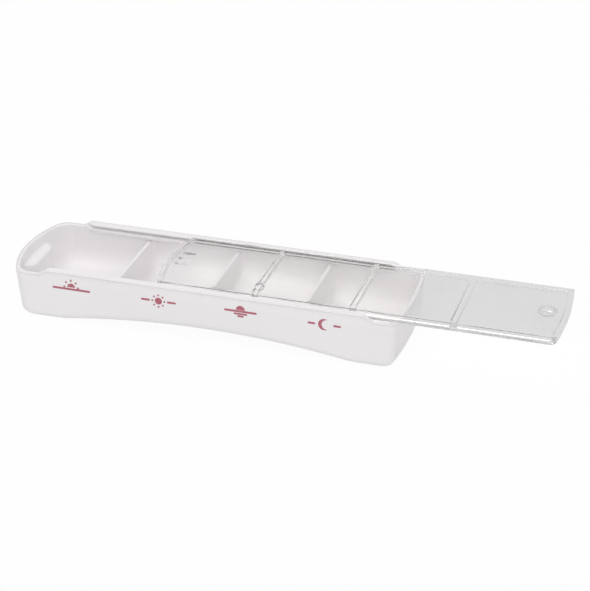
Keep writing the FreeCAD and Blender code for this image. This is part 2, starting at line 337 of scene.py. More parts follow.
def section(t, rows, floor, fillet=0.0):
    """y and z on the section: upright wall, quarter-round scoop, level floor, drawn in by fillet."""
    y = -t.inner + t.scoop * (1 - np.cos(rows.turn)) + (t.inner - t.scoop) * rows.across
    z = t.base + (floor + t.scoop - t.base) * rows.down - t.scoop * np.sin(rows.turn)
    return y + fillet * np.cos(rows.turn), z + fillet * np.sin(rows.turn)


def divider_half(t, rows, centre, way):
    """Half a divider: its top, rounded edge, face and the fillet that runs out on walls and floor.

    Rows follow the section, columns run from the divider's middle. In the fillet a point is
    face + r (1 - cos a) along x and section + r (1 - sin a) along the section's normal."""
    r = t.divider_fillet
    alpha = np.linspace(0, QUARTER, LEVELS + 1)
    out = t.edge_round * (1 - np.cos(alpha))
    up = t.edge_round * np.sin(alpha)

    def face_at(z):
        return t.divider_thickness / 2 + t.divider_draft * (1 - z / t.divider_top)

    edge = face_at(t.base)
    y_top = -(t.inner - r) * (1 - rows.along)
    count = len(y_top)

    q_head = np.concatenate([[0.0], edge - out[::-1]])[None, :]
    z_head = np.concatenate([[t.divider_top], t.base + up[::-1]])[None, :]
    head = [np.repeat(q_head, count, 0), np.repeat(y_top, LEVELS + 2, 1), np.repeat(z_head, count, 0)]

    foot = face_at(arch_height(t, np.array(centre), t.floor_thickness))
    low = arch_height(t, centre + way * foot, t.floor_thickness)
    y0, z0 = section(t, rows, np.array([[low]]), r)
    part = np.linspace(0, 1, 8)[None, 1:]
    y_face = y_top + (y0 - y_top) * part
    z_face = t.base + (z0 - t.base) * part
    face = [face_at(z_face), y_face, z_face]

    angle = np.linspace(0, QUARTER, 8)[None, 1:]
    run = r * (1 - np.cos(angle))
    floor = arch_height(t, centre + way * (foot + run), t.floor_thickness)
    y_fill, z_fill = section(t, rows, floor, r * (1 - np.sin(angle)))
    fillet = [face_at(z_fill) + run, y_fill, z_fill]
    lower = [np.concatenate(three, 1) for three in zip(head, face, fillet)]

    level = np.concatenate([[LEVELS], np.arange(LEVELS, -1, -1), np.zeros(part.size, int)])
    upper = []
    for step in range(LEVELS, 0, -1):
        most = np.maximum(level, step)
        q = edge - out[most]
        q[0] = 0.0
        reach = r + out[step]
        q_arc = edge + r - reach * np.cos(angle[0])
        y_arc = np.maximum(-(t.inner - r) - reach * np.sin(angle[0]), -t.inner)
        upper.append(
            [
                np.concatenate([q, q_arc]),
                np.concatenate([np.full(len(q), -(t.inner - r)), y_arc]),
                np.concatenate([t.base + up[most], np.full(len(q_arc), t.base + up[step])]),
            ]
        )
    wall = [upper[0][0], np.full(len(upper[0][0]), -t.inner), np.full(len(upper[0][0]), t.seam)]
    upper = np.array([wall] + upper)
    q, y, z = (np.concatenate([upper[:, axis], lower[axis]]) for axis in range(3))
    block = np.stack([centre + way * q, y, z], -1)
    return block if way > 0 else block[:, ::-1]


def end_block(t, rows, side):
    """Inside of an end wall and its fillet. On the left the wall steps in over the thumb recess.

    A station is a height and how far the wall has stepped in there, from 0 to 1. The ledge ends in
    a quarter circle: height head - r (1 - cos a), step in less r (1 - sin a) than the full depth.
    The stations take the upper share of a row's way from the wall's top down to the fillet."""
    r = t.end_fillet
    upper = 0.6
    way = -side
    head = t.thumb_top + t.wall
    if side < 0:
        bend = t.ledge_round / t.thumb_depth
        stations = [(t.seam, 0), (head + 0.5, 0), (head + 0.15, 0.02), (head + 0.03, 0.07)]
        stations += [(head, 0.15), (head, 0.45)]
        for a in np.linspace(0, QUARTER, 7):
            drop = t.ledge_round * (1 - math.cos(a))
            stations.append((head - drop, 1 - bend * (1 - math.sin(a))))
        stations += [(10.5, 1), (8.0, 1), (5.6, 1)]
    else:
        stations = [(t.seam, 0), (12.7, 0), (10.4, 0), (8.0, 0), (5.6, 0)]
    level = np.array([z for z, _ in stations])[None, :]
    grown = np.array([g for _, g in stations])[None, :]
    low = level[0, -1]
    floor = np.array([[t.floor_thickness]])
    y0, z0 = section(t, rows, floor, r)
    y_top = -(t.inner - r) * (1 - rows.along)
    stop = np.maximum(z0, low)
    z_high = stop + (t.seam - stop) * (level - low) / (t.seam - low)
    part = upper * (t.seam - level) / (t.seam - low)
    y_high = y_top + (y0 - y_top) * part
    rest = np.linspace(0, 1, 4)[None, 1:]
    y_low = y_top + (y0 - y_top) * (upper + (1 - upper) * rest)
    z_low = stop + (z0 - stop) * rest
    angle = np.linspace(0, QUARTER, 8)[None, 1:]
    y_fill, z_fill = section(t, rows, floor, r * (1 - np.sin(angle)))
    y = np.concatenate([y_high, y_low, y_fill], 1)
    z = np.concatenate([z_high, z_low, z_fill], 1)
    grown = np.concatenate([grown, np.full((1, rest.size + angle.size), grown[0, -1])], 1)
    run = np.concatenate([np.zeros((1, level.size + rest.size)), r * (1 - np.cos(angle))], 1)

    steps = np.arange(LEVELS + 1, 0, -1)[:, None] / (LEVELS + 1)
    z_row = t.base + (t.seam - t.base) * steps
    y_wall = np.concatenate([np.full(level.size + rest.size, -(t.inner - r)), y_fill[0]])[None, :]
    z_wall = np.concatenate([z_high[0], z_low[0], np.full(angle.size, t.base)])[None, :]
    y = np.concatenate([np.repeat(y_wall, LEVELS + 1, 0), y])
    z = np.concatenate([np.maximum(z_wall, z_row), z])

    x = bow(t, side, y, z, t.wall)
    if side < 0:
        x = x + grown * (smooth_max(x, thumb_block(t, y, t.wall), CREASE) - x)
    block = np.stack([x + way * run, y, z], -1)
    return block if way > 0 else block[:, ::-1]


def floor_block(t, rows, left, right, lines):
    """Walls, scoops and floor between two blocks, at shares of the way from one to the other."""
    part = np.array(lines)[None, :]
    x = left[:, None] + (right - left)[:, None] * part
    high = LEVELS + 1
    y, z = section(t, rows, arch_height(t, x[high:], t.floor_thickness))
    steps = np.arange(high, 0, -1)[:, None] / high
    y_wall = np.full((high, part.size), -t.inner)
    z_wall = np.repeat(t.base + (t.seam - t.base) * steps, part.size, 1)
    y = np.concatenate([y_wall, np.repeat(y, part.size, 1)])
    return np.stack([x, y, np.concatenate([z_wall, z])], -1)


def hollow_grid(t):
    """The whole inside of the tray as one grid, and its row parameters.

    The columns lie closest where a ramp rises and a lip fades in, in mm from a corner line."""
    rows = section_rows(t)
    fine = [5.5, 6.3, 7.0, 7.7, 8.1, 8.4, 8.7, 9.1, 9.6, 10.1, 10.6, 11.0, 11.3, 11.6, 12.0, 12.5]
    fine += [13.0, 13.6, 14.2, 15.2, 17.0, 19.0, 21.5, 24.0, 27.0, 30.0]
    blocks = [end_block(t, rows, -1)]
    for index in range(4):
        if index < 3:
            after = divider_half(t, rows, t.pitch * (index + 1), -1)
        else:
            after = end_block(t, rows, 1)
        left = blocks[-1][:, -1, 0]
        right = after[:, 0, 0]
        if index == 0:
            lines = (np.array(fine) - left[0]) / (right[0] - left[0])
        elif index == 3:
            lines = ((t.length - np.array(fine[::-1])) - left[0]) / (right[0] - left[0])
        else:
            lines = np.linspace(0, 1, 14)[1:-1]
        blocks.append(floor_block(t, rows, left, right, lines))
        blocks.append(after)
        if index < 3:
            blocks.append(divider_half(t, rows, t.pitch * (index + 1), 1)[:, 1:])
    half = np.concatenate(blocks, 1)
    mirrored = half[-2::-1] * np.array([1.0, -1.0, 1.0])
    return np.concatenate([half, mirrored]), rows


def loop_of(t, grid, rows):
    """The rim loop that the hollow's grid ends on, as parameters that every offset loop shares."""
    front_x = grid[0, :, 0]
    columns = len(front_x)
    angle = np.linspace(0, QUARTER, 8)[1:]
    left_count = end_block(t, rows, -1).shape[1]
    right_count = end_block(t, rows, 1).shape[1]
    theta = np.full(columns, QUARTER)
    family = np.zeros(columns, int)
    theta[:left_count] = np.concatenate([np.zeros(left_count - angle.size), angle])
    family[:left_count] = -1
    theta[-right_count:] = np.concatenate([np.zeros(right_count - angle.size), angle])[::-1]
    family[-right_count:] = 1
    half = np.concatenate([np.full(LEVELS + 1, -1.0), -(1 - rows.along[:, 0])])
    rise = np.concatenate([half, -half[-2::-1]])
    tall = len(rise)
    zeros = np.zeros(tall)
    front, back = np.full(columns, -1.0), np.full(columns, 1.0)
    return SimpleNamespace(
        family=np.concatenate([family, np.ones(tall, int), family[::-1], -np.ones(tall, int)]),
        theta=np.concatenate([theta, zeros, theta[::-1], zeros]),
        lean_y=np.concatenate([front, rise, back, rise[::-1]]),
        sign=np.concatenate([front, np.sign(rise), back, np.sign(rise[::-1])]),
        side_x=np.concatenate([front_x, zeros, front_x[::-1], zeros]),
        columns=columns, tall=tall,
    )


def loop_points(t, loop, depth, z, corner, dent=0.0):
    """Points of the outline drawn in by depth at height z, with corners of the given setback.

    y = share (h - c) + c sin a, and x = bow + c (1 - cos a) at the ends."""
    depth = np.broadcast_to(depth, loop.theta.shape)
    z = np.broadcast_to(z, loop.theta.shape)
    h = t.half - depth
    y = loop.lean_y * (h - corner) + loop.sign * corner * np.sin(loop.theta)
    inset = np.minimum(depth, t.wall)
    run = corner * (1 - np.cos(loop.theta)) + depth - inset
    left = bow(t, -1, y, z, inset) + run
    if dent > 0:
        left = left + dent * (smooth_max(left, thumb_block(t, y, 0.0), CREASE) - left)
    right = bow(t, 1, y, z, inset) - run
    x = np.where(loop.family < 0, left, np.where(loop.family > 0, right, loop.side_x))
    return np.stack([x, y, z], -1)


def soft_clip(value, low, high, k):
    """value held between low and high, with both bends rounded over k."""
    return low + smooth_max(value - low, 0.0, k) - smooth_max(value - high, 0.0, k)


def shell_rows(t, loop):
    """Rows of the outside: shoulder, groove, lip, rim, outer wall and base round.

    Under and over list the rows below and above the groove's middle, each as a share of how far the
    ledge or the lip stands in, and a height."""
    from_end = np.minimum(loop.side_x, t.length - loop.side_x)
    side = loop.family == 0
    ramp = (from_end - t.rail_start) / t.ramp
    top = t.rim + (t.rail_top - t.rim) * np.where(side, soft_clip(ramp, 0.0, 1.0, 0.06), 0.0)
    ledge = np.where(side, np.clip((from_end - t.rail_start) / t.lead_in, 0, 1), 0.0)
    ledge = t.lip_depth * ledge * ledge * (3 - 2 * ledge)
    lip_start = t.rail_start + t.ramp * LIP_START
    lip_fade = t.rail_start + t.lead_in - lip_start
    lip = np.where(side, np.clip((from_end - lip_start) / lip_fade, 0, 1), 0.0)
    lip = t.lip_depth * lip * (2 - lip)
    roof = t.rail_top - t.lip_thickness
    under = [
        (0.0, t.seam), (0.5, t.seam + 0.77), (0.93, t.rim - t.shoulder - 0.12),
        (1.0, t.rim - t.shoulder + 0.06), (1.0, t.rim - 0.2), (0.96, t.rim - 0.06),
        (0.86, t.rim), (0.16, t.rim), (0.04, t.rim + 0.05), (0.0, t.rim + 0.2),
    ]
    over = [
        (0.0, roof - 0.2), (0.04, roof - 0.05), (0.16, roof),
        (0.86, roof), (0.96, roof + 0.05), (1.0, roof + 0.16),
    ]
    rounding = t.rim_inside
    result = []

    def add(depth, z, corner=None, dent=0.0):
        if corner is None:
            corner = t.corner + (t.end_fillet - t.corner) * np.clip(depth / t.wall, 0, 1)
        result.append(loop_points(t, loop, depth, z, corner, dent))

    for reach, z in under:
        add(t.wall + ledge * reach, np.minimum(z, top - rounding))
    for reach, z in over:
        add(t.wall + lip * reach, np.minimum(z, top - rounding))
    for angle in np.linspace(0, QUARTER, 5):
        add(t.wall + lip - rounding * (1 - np.cos(angle)), top - rounding * (1 - np.sin(angle)))
    edge = t.rim_outside
    for angle in np.linspace(QUARTER, 0, 6):
        add(edge * (1 - np.sin(angle)), top - edge * (1 - np.cos(angle)))
    for z in (16.6, 15.0, 13.6):
        add(0.0, z)
    head = t.thumb_top
    recess = [
        (head + 0.3, 0.0), (head + 0.1, 0.02), (head, 0.1), (head, 0.45),
        (head, 0.85), (head - 0.1, 0.97), (head - 0.35, 1.0),
    ]
    for z, dent in recess:
        add(0.0, z, dent=dent)
    foot = arch_height(t, np.where(side, loop.side_x, 0.0), 0.0)
    start = foot + t.base_round
    for part in (0.0, 0.2, 0.45, 0.72, 1.0):
        add(0.0, (head - 0.8) * (1 - part) + start * part, dent=1.0)
    for angle in np.linspace(0, QUARTER, 9)[1:]:
        depth = t.base_round * (1 - np.cos(angle))
        add(depth, foot + t.base_round * (1 - np.sin(angle)), t.corner, 1.0)
    return np.array(result)


def underside(t, loop, edge):
    """Closes the bottom: a Coons patch of the last loop in plan, lifted on to the arch."""
    c, h = loop.columns, loop.tall
    front, right = edge[:c, :2], edge[c : c + h, :2]
    back, left = edge[c + h : 2 * c + h, :2][::-1], edge[2 * c + h :, :2][::-1]
    u = ((front[:, 0] - front[0, 0]) / (front[-1, 0] - front[0, 0]))[None, :, None]
    v = ((left[:, 1] - left[0, 1]) / (left[-1, 1] - left[0, 1]))[:, None, None]
    plan = (1 - v) * front[None] + v * back[None] + (1 - u) * left[:, None] + u * right[:, None]
    plan = plan - (1 - u) * (1 - v) * front[0] - u * (1 - v) * front[-1]
    plan = plan - (1 - u) * v * back[0] - u * v * back[-1]
    lift = arch_height(t, plan[..., 0], 0.0)
    return np.concatenate([plan, lift[..., None]], -1)


def tray_mesh(t):
    """Points and faces of the tray: hollow, outside and underside, which share their edges."""
    grid, rows = hollow_grid(t)
    loop = loop_of(t, grid, rows)
    shell = shell_rows(t, loop)
    below = underside(t, loop, shell[-1])
    points, faces = joined([(grid, False), (shell, True), (below, False)])
    points[:, 0] += t.shift
    return points, faces


def step_of(d, width):
    """Moulded step: 0 below d = 0, 1 above d = width, with both bends rounded."""
    s = np.clip(d / width, 0, 1)
    return s * s * (3 - 2 * s)


def edge_drop(d, radius):
    """How far a quarter-round edge falls at distance d inside it."""
    gap = np.clip(radius - d, 0, radius)
    return radius - np.sqrt(radius**2 - gap**2)


def inside_box(x, y, x0, x1, y0, y1, radius):
    """Distance inside a rectangle with rounded corners, negative outside."""
    qx = radius - np.minimum(x - x0, x1 - x)
    qy = radius - np.minimum(y - y0, y1 - y)
    return radius - np.hypot(np.maximum(qx, 0), np.maximum(qy, 0)) - np.minimum(np.maximum(qx, qy), 0)


def sorted_lines(*groups):
    """All grid lines in order, without those that nearly coincide."""
    lines = np.unique(np.concatenate([np.atleast_1d(np.asarray(group, float)) for group in groups]))
    keep = np.concatenate([[True], np.diff(lines) > 0.03])
    return lines[keep]


def beside(middle, offsets):
    """Grid lines at the same offsets on both sides of a middle."""
    return np.concatenate([middle - offsets, middle + offsets])


def ringed(x, y, cx, cy, core, size):
    """Bends the grid lines of a square block into rings round its centre.

    Squares of half-size up to core become circles, and from there to size they fade back."""
    a, b = x - cx, y - cy
    square = np.maximum(np.abs(a), np.abs(b))
    away = np.maximum(np.hypot(a, b), 1e-9)
    blend = np.clip((size - square) / (size - core), 0, 1)
    scale = 1 + np.where(square > 0, blend * (square / away - 1), 0)
    return np.where(square < size, cx + a * scale, x), np.where(square < size, cy + b * scale, y)


def lid_mesh(scene):
    """Points and faces of the lid: a top and a bottom height over one bent grid, and its rim.

    Every form is a moulded step of the distance inside its outline, added to a height or taken from
    it: the panels, the ring and well of the gate, the pin mark, the grip grooves and the plate's
    side over the flanges. The ends are bowed and their corners rounded last."""
    s = millimetres(scene.lid_sizes)
    low, high = LID_LOW * 1000, LID_HIGH * 1000
    flange_half, bottom, top = high.y, low.z, high.z
    plate_half = flange_half - s.flange_width
    flange_top = bottom + s.flange_thickness
    first, last = low.x + s.left_bulge, high.x - s.right_bulge
    pitch = (last - first) / 4
    ribs = first + pitch * np.arange(1, 4)
    gate_x, pin_x, grip_x = last - s.gate_to_end, ribs[0], first + s.grip_to_end
    frame_in = plate_half - s.frame_width
    w = s.step
    narrow, fine = 0.8 * w, 0.55 * w
    side_wall, pin_rim = 0.24, 0.35
    nub, nub_edge, nub_share = 0.68, 0.33, 0.4
    margin, bow_fade, corner_fade = 0.6, 22.0, 7.0
    flange_edge, under_edge = 0.15, 0.12
    gate_block, pin_block = (4.1, 5.15), (1.7, 2.3)

    moulded = np.array([-0.12, 0.0, 0.2, 0.4, 0.6, 0.8, 1.0, 1.4]) * w
    rim = np.array([0.0, 0.02, 0.06, 0.12, 0.2, 0.32])
    gate_rings = np.concatenate([
        [0.0, 0.2, 0.35, 0.45, 0.52, 0.6, 0.68, 1.2, 2.0, 2.7], s.gate_radius - moulded[:-1],
        s.gate_radius + s.gate_wall - moulded[:-1], [4.15, 4.6, 5.1],
    ])
    pin_rings = np.array(
        [0.0, 0.4, 0.8, 1.0, 1.07, 1.14, 1.21, 1.28, 1.35, 1.42, 1.49, 1.56, 1.63, 1.7, 1.8, 2.0, 2.3]
    )
    rib_edges = [beside(x, s.rib_width / 2 + moulded) for x in ribs]
    fill = np.concatenate([np.linspace(a, b, 9) for a, b in zip([first, *ribs], [*ribs, last])])
    x_line = sorted_lines(
        low.x + rim, high.x - rim, low.x + s.frame_width + moulded, high.x - s.frame_width - moulded,
        *rib_edges, beside(grip_x, s.grip_length / 2 - moulded), beside(gate_x, gate_rings),
        beside(pin_x, pin_rings), fill,
    )
    x_line = x_line[(x_line >= low.x) & (x_line <= high.x)]
    grips = s.grip_offset + (np.arange(3) - 1) * s.grip_spacing
    grip_sides = [beside(y, s.grip_width / 2 - moulded) for y in grips]
    wall_lines = plate_half - np.array([-0.3, -0.24, -0.18, -0.12, -0.06, 0.0, 0.05, 0.12, 0.22, 0.36])
    y_line = sorted_lines(
        beside(0.0, flange_half - rim), beside(0.0, wall_lines), beside(0.0, frame_in - moulded),
        beside(s.gate_offset, gate_rings), beside(s.pin_offset, pin_rings), *grip_sides,
        np.linspace(-frame_in, frame_in, 15),
    )
    x, y = np.meshgrid(x_line, y_line)
    x, y = ringed(x, y, gate_x, s.gate_offset, *gate_block)
    x, y = ringed(x, y, pin_x, s.pin_offset, *pin_block)

    starts = [low.x + s.frame_width, *(ribs + s.rib_width / 2)]
    ends = [*(ribs - s.rib_width / 2), high.x - s.frame_width]
    recess = cavity = np.zeros_like(x)
    for x0, x1 in zip(starts, ends):
        inside = inside_box(x, y, x0, x1, -frame_in, frame_in, s.panel_corner)
        recess = np.maximum(recess, step_of(inside, w))
        cavity = np.maximum(cavity, step_of(inside, narrow))
    gate = np.hypot(x - gate_x, y - s.gate_offset)
    pin = np.hypot(x - pin_x, y - s.pin_offset)
    pin_face = step_of(s.pin_radius - pin, fine)
    ring = step_of(s.gate_radius + s.gate_wall - gate, w)
    upper = top - s.recess * recess * (1 - pin_face)
    upper = upper - s.pin_depth * step_of(s.pin_radius - pin_rim - pin, fine)
    upper = upper + (s.recess + s.gate_rise) * ring
    upper = upper - (s.recess + s.gate_rise + s.gate_depth) * step_of(s.gate_radius - gate, w)
    upper = upper + nub_share * s.gate_depth * step_of(nub - gate, nub_edge)
    for middle in grips:
        inside = inside_box(
            x, y, grip_x - s.grip_length / 2, grip_x + s.grip_length / 2,
            middle - s.grip_width / 2, middle + s.grip_width / 2, 0.45 * s.grip_width,
        )
        upper = upper - s.grip_depth * step_of(inside, narrow)
    hollow = top - s.recess - s.panel - bottom
    lower = bottom + hollow * cavity * (1 - pin_face) * (1 - ring)
    from_side, from_rim = plate_half - np.abs(y), flange_half - np.abs(y)
    from_end = np.minimum(x - low.x, high.x - x)
    upper = upper - edge_drop(from_side, s.edge) - edge_drop(from_end, s.edge)
    cliff = step_of(from_side + side_wall, side_wall)
    flange = flange_top - edge_drop(from_rim, flange_edge) - edge_drop(from_end, flange_edge)
    upper = np.where(from_side < 0, flange + (upper - flange) * cliff, upper)
    lower = lower + edge_drop(from_rim, under_edge) + edge_drop(from_end, under_edge)

    def bulge(rise):
        radius = bow_radius(plate_half, rise)
        return radius - np.sqrt(radius**2 - y**2)

    past = np.clip(np.abs(y) - (flange_half - s.corner), 0, s.corner)
    corner = s.corner - np.sqrt(s.corner**2 - past**2)
    fade_left = 1 - step_of(x - low.x - s.frame_width - margin, bow_fade)
    fade_right = 1 - step_of(high.x - x - s.frame_width - margin, bow_fade)
    tight_left = 1 - step_of(x - low.x, corner_fade)
    tight_right = 1 - step_of(high.x - x, corner_fade)
    x = x + bulge(s.left_bulge) * fade_left - bulge(s.right_bulge) * fade_right
    x = x + corner * (tight_left - tight_right)
    upper_grid = np.stack([x, y, upper], -1)
    lower_grid = np.stack([x, y, lower], -1)

    def around(grid):
        return np.concatenate([grid[0], grid[:, -1], grid[-1, ::-1], grid[::-1, 0]])

    strip = np.stack([around(upper_grid), around(lower_grid)])
    return joined([(upper_grid, False), (lower_grid, False), (strip, True)])


def slab(lower, upper, front, back):
    """Closed plate between two curves in x and z that meet at both ends: rings of points."""
    part = np.linspace(0, 1, 5)[None, :, None]
    sheet = lower[:, None] + (upper - lower)[:, None] * part
    near = np.insert(sheet, 1, front, 2)
    far = np.insert(sheet[:, ::-1], 1, back, 2)
    return np.concatenate([near, far], 1)


def stroke(x0, z0, x1, z1, width):
    """Lower and upper curve of a straight stroke with round ends."""
    start, end = np.array([x0, z0]), np.array([x1, z1])
    along = (end - start) / np.linalg.norm(end - start)
    side = np.array([-along[1], along[0]])
    angle = np.linspace(0, QUARTER, 12)[:, None]
    radius = width / 2
    first = start + radius * along * (1 - np.cos(angle)) + radius * side * np.sin(angle)
    second = end - radius * along * (1 - np.cos(angle[::-1])) + radius * side * np.sin(angle[::-1])
    upper = np.concatenate([first, second])
    lower = upper - 2 * ((upper - start) @ side)[:, None] * side
    return lower, upper


def arc(cx, cz, radius, start, end):
    """Points on a circle between two angles in degrees."""
    angle = np.radians(np.linspace(start, end, CURVE_POINTS))
    return np.stack([cx + radius * np.cos(angle), cz + radius * np.sin(angle)], 1)


def half_disc(cx, cz, radius):
    """The upper half of a disc over its straight edge."""
    edge = np.linspace(cx - radius, cx + radius, CURVE_POINTS)
    return np.stack([edge, np.full_like(edge, cz)], 1), arc(cx, cz, radius, 180, 0)


def rays(cx, cz, radius, width, count):
    """Short strokes that point away from a disc, 45 degrees apart."""
    shapes = []
    inner, outer = 1.45 * radius, 2.0 * radius
    for index in range(count):
        angle = math.radians(45 * index)
        way = np.array([math.cos(angle), math.sin(angle)])
        near, far = np.array([cx, cz]) + inner * way, np.array([cx, cz]) + outer * way
        shapes.append(stroke(*near, *far, width))
    return shapes


def level_strokes(cx, cz, inner, outer, width):
    """A level stroke on each side, from inner to outer, or one right across."""
    if inner == 0:
        return [stroke(cx - outer, cz, cx + outer, cz, width)]
    return [stroke(cx - outer, cz, cx - inner, cz, width), stroke(cx + inner, cz, cx + outer, cz, width)]


def sign_shapes(name, cx, cz, m, width):
    """Plain sign for a time of day, from discs, strokes and a crescent."""
    gap, reach, thin = 3.2, width / 2 - m.stroke / 2, 0.85 * m.stroke
    if name == "morning":
        low = cz - 1.3
        shapes = [half_disc(cx, low + m.stroke, m.disc)] + level_strokes(cx, low, 0, reach, m.stroke)
        return shapes + rays(cx, low + m.stroke, m.disc, thin, 5)
    if name == "noon":
        disc = 0.88 * m.disc
        shapes = [(arc(cx, cz, disc, 180, 360), arc(cx, cz, disc, 180, 0))]
        shapes += level_strokes(cx, cz, gap, reach, m.stroke)
        return shapes + rays(cx, cz, disc, thin, 8)
    if name == "evening":
        shapes = [half_disc(cx, cz + 0.25 + m.stroke / 2, 1.1 * m.disc)]
        for drop, part, wide in ((0.0, 1.0, m.stroke), (1.0, 0.42, thin), (1.9, 0.2, thin)):
            shapes += level_strokes(cx, cz + 0.1 - drop, 0, reach * part, wide)
        return shapes
    radius = 1.45 * m.disc
    outer = arc(cx, cz, radius, 58, 302)
    tip = outer[0]
    centre = cx + 0.42 * radius
    turn = math.degrees(math.atan2(tip[1] - cz, tip[0] - centre))
    inner = arc(centre, cz, math.hypot(tip[0] - centre, tip[1] - cz), turn, 360 - turn)
    return [(inner, outer)] + level_strokes(cx, cz, gap, reach, m.stroke)


# Name of each sign, its middle from the left corner line and its height in mm, its relative width
SIGNS = (
    ("morning", 21.1, 14.75, 1.1),
    ("noon", 54.1, 13.85, 1.0),
    ("evening", 84.4, 14.35, 0.92),
    ("night", 114.6, 14.1, 0.92),
)


def fresh_material(name, kind="ShaderNodeBsdfPrincipled"):
    """A node material with one shader on its output."""
    material = bpy.data.materials.new(name)
    material.use_nodes = True
    nodes, links = material.node_tree.nodes, material.node_tree.links
    nodes.clear()
    output, shader = nodes.new("ShaderNodeOutputMaterial"), nodes.new(kind)
    links.new(shader.outputs[0], output.inputs["Surface"])
    return material, nodes, links, shader, output


def mixed(nodes, links, factor, first, second):
    """Two shaders mixed by a number or by another node's output."""
    mix = nodes.new("ShaderNodeMixShader")
    if isinstance(factor, float):
        mix.inputs[0].default_value = factor
    else:
        links.new(factor, mix.inputs[0])
    links.new(first, mix.inputs[1])
    links.new(second, mix.inputs[2])
    return mix.outputs[0]


def noise(nodes, links, scale, detail):
    place = nodes.new("ShaderNodeTexCoord")
    texture = nodes.new("ShaderNodeTexNoise")
    texture.inputs["Scale"].default_value = scale
    texture.inputs["Detail"].default_value = detail
    links.new(place.outputs["Object"], texture.inputs["Vector"])
    return texture.outputs["Fac"]


def ranged(nodes, links, source, low, high):
    """Maps a noise from its usual span to low..high."""
    node = nodes.new("ShaderNodeMapRange")
    node.inputs["From Min"].default_value = 0.3
    node.inputs["From Max"].default_value = 0.7
    node.inputs["To Min"].default_value = low
    node.inputs["To Max"].default_value = high
    links.new(source, node.inputs["Value"])
    return node.outputs["Result"]


def bumped(nodes, links, height, distance, strength):
    node = nodes.new("ShaderNodeBump")
    node.inputs["Strength"].default_value = strength
    node.inputs["Distance"].default_value = distance
    links.new(height, node.inputs["Height"])
    return node.outputs["Normal"]


def two_tone(nodes, links, factor, colour, low, high):
    """A colour that wanders between two shades of itself, given as factors of its channels."""
    mix = nodes.new("ShaderNodeMix")
    mix.data_type = "RGBA"
    for socket, shade in (("A", low), ("B", high)):
        channels = [min(channel * part, 1.0) for channel, part in zip(colour, shade)]
        mix.inputs[socket].default_value = (*channels, 1.0)
    links.new(ranged(nodes, links, factor, 0.0, 1.0), mix.inputs["Factor"])
    return mix.outputs["Result"]


def white_plastic(scene):
    """Satin moulded plastic with a faint cloudiness and a fine grain."""
    material, nodes, links, shader, _ = fresh_material("white_moulded_plastic")
    finish = scene.finishes
    cloud = noise(nodes, links, 55.0, 3.0)
    tint = two_tone(nodes, links, cloud, finish.white, (0.985, 0.982, 0.985), (1.0, 1.0, 1.0))
    links.new(tint, shader.inputs["Base Color"])
    grain = noise(nodes, links, 2600.0, 2.0)
    rough = ranged(nodes, links, grain, finish.white_rough - 0.03, finish.white_rough + 0.04)
    links.new(rough, shader.inputs["Roughness"])
    links.new(bumped(nodes, links, grain, 0.00002, 0.25), shader.inputs["Normal"])
    shader.inputs["IOR"].default_value = 1.48
    return material


def clear_plastic(scene):
    """Clear moulded plastic that lets lamps through, with a faint tint and slow waves."""
    material, nodes, links, shader, output = fresh_material("clear_moulded_plastic")
    finish = scene.finishes
    shader.inputs["Base Color"].default_value = (*finish.clear, 1.0)
    shader.inputs["Transmission Weight"].default_value = 1.0 - finish.haze
    shader.inputs["IOR"].default_value = 1.35
    waves = noise(nodes, links, 90.0, 2.0)
    rough = ranged(nodes, links, waves, finish.clear_rough * 0.6, finish.clear_rough * 1.5)
    links.new(rough, shader.inputs["Roughness"])
    links.new(bumped(nodes, links, waves, 0.0001, 0.12), shader.inputs["Normal"])
    through = nodes.new("ShaderNodeBsdfTransparent")
    through.inputs["Color"].default_value = (*[0.75 + 0.25 * c for c in finish.clear], 1.0)
    shadow = nodes.new("ShaderNodeLightPath").outputs["Is Shadow Ray"]
    choice = mixed(nodes, links, shadow, shader.outputs[0], through.outputs[0])
    links.new(choice, output.inputs["Surface"])
    return material


def rose_print(scene):
    """Matt printing ink with a slightly uneven tone."""
    material, nodes, links, shader, _ = fresh_material("rose_printing_ink")
    tone = noise(nodes, links, 1400.0, 2.0)
    tint = two_tone(nodes, links, tone, scene.finishes.rose, (0.9, 0.85, 0.87), (1.08, 1.2, 1.2))
    links.new(tint, shader.inputs["Base Color"])
    links.new(ranged(nodes, links, tone, 0.45, 0.6), shader.inputs["Roughness"])
    return material


def seen_rays(nodes, links):
    """1 for rays from the camera, mirrored rays and rays through the lid, 0 for the rest."""
    path = nodes.new("ShaderNodeLightPath")
    total = path.outputs["Is Camera Ray"]
    for kind in ("Is Glossy Ray", "Is Transmission Ray"):
        either = nodes.new("ShaderNodeMath")
        either.operation = "MAXIMUM"
        links.new(total, either.inputs[0])
        links.new(path.outputs[kind], either.inputs[1])
        total = either.outputs[0]
    return total


def backdrop(nodes, links, kind, through):
    """Plain white to the camera, and a little darker in gloss and through the lid."""
    shader = nodes.new(kind)
    shader.inputs["Color"].default_value = (1.0, 1.0, 1.0, 1.0)
    path = nodes.new("ShaderNodeLightPath")
    strength = nodes.new("ShaderNodeMapRange")
    strength.inputs["To Min"].default_value = through
    strength.inputs["To Max"].default_value = 1.0
    links.new(path.outputs["Is Camera Ray"], strength.inputs["Value"])
    links.new(strength.outputs["Result"], shader.inputs["Strength"])
    return shader.outputs[0]


def area_light(name, energy, size, place):
    """A soft rectangular light that points at the middle of the stage."""
    lamp = bpy.data.lights.new(name, "AREA")
    lamp.energy = energy
    lamp.color = bpy.context.scene.stage_sizes.warm
    lamp.shape = "RECTANGLE"
    lamp.size, lamp.size_y = size
    item = bpy.data.objects.new(name, lamp)
    bpy.context.scene.collection.objects.link(item)
    item.location = place
    item.rotation_euler = (-Vector(place)).to_track_quat("-Z", "Y").to_euler()


